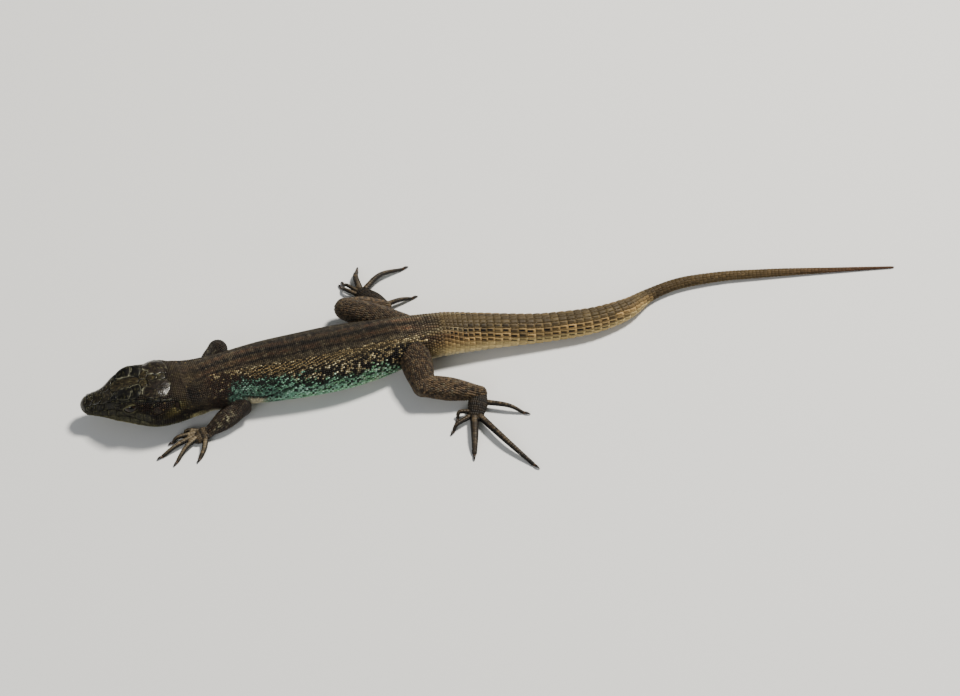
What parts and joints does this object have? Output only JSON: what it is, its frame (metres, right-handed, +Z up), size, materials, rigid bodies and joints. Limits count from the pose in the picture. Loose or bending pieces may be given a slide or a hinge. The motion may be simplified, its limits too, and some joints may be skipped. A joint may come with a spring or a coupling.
{
  "type": "wall lizard",
  "caption": "Life-size still model of a dark, turquoise-flanked wall lizard basking flat on the ground, head low, legs sprawled and tail laid out behind in a gentle bend.",
  "frame": {"origin": "middle of the model's box on the ground that it lies on", "axes": "+X from the head towards the tail tip, +Y towards the animal's right side, +Z up from the ground"},
  "size_m": [0.1629, 0.0524, 0.0107],
  "materials": {
    "skin_head": "very dark olive-brown horny shields with a soft gloss",
    "skin_body": "dark brown granular scales with darker lines along the back and a turquoise flank spotted with black",
    "skin_tail": "olive-brown rings of long keeled scales, satin",
    "skin_legs": "dark brown scales with faint pale mottling, satin",
    "eye": "wet black pupil in a narrow brown iris",
    "eardrum": "thin dark membrane, slightly sunk",
    "claw": "dark horn, semi-gloss"
  },
  "bodies": {
    "root": {"head": "skin_head", "lower_jaw": "skin_head", "eye_left": "eye", "eye_right": "eye", "ear_left": "eardrum", "ear_right": "eardrum", "neck": "skin_body", "trunk": "skin_body", "tail_1": "skin_tail", "tail_2": "skin_tail", "tail_3": "skin_tail", "tail_4": "skin_tail", "left_fore_upper_arm": "skin_legs", "left_fore_forearm": "skin_legs", "left_fore_hand": "skin_legs", "right_fore_upper_arm": "skin_legs", "right_fore_forearm": "skin_legs", "right_fore_hand": "skin_legs", "left_hind_thigh": "skin_legs", "left_hind_shank": "skin_legs", "left_hind_foot": "skin_legs", "right_hind_thigh": "skin_legs", "right_hind_shank": "skin_legs", "right_hind_foot": "skin_legs", "left_fore_claw_1": "claw", "left_fore_claw_2": "claw", "left_fore_claw_3": "claw", "left_fore_claw_4": "claw", "left_fore_claw_5": "claw", "right_fore_claw_1": "claw", "right_fore_claw_2": "claw", "right_fore_claw_3": "claw", "right_fore_claw_4": "claw", "right_fore_claw_5": "claw", "left_hind_claw_1": "claw", "left_hind_claw_2": "claw", "left_hind_claw_3": "claw", "left_hind_claw_4": "claw", "left_hind_claw_5": "claw", "right_hind_claw_1": "claw", "right_hind_claw_2": "claw", "right_hind_claw_3": "claw", "right_hind_claw_4": "claw", "right_hind_claw_5": "claw"}
  },
  "joints": []
}
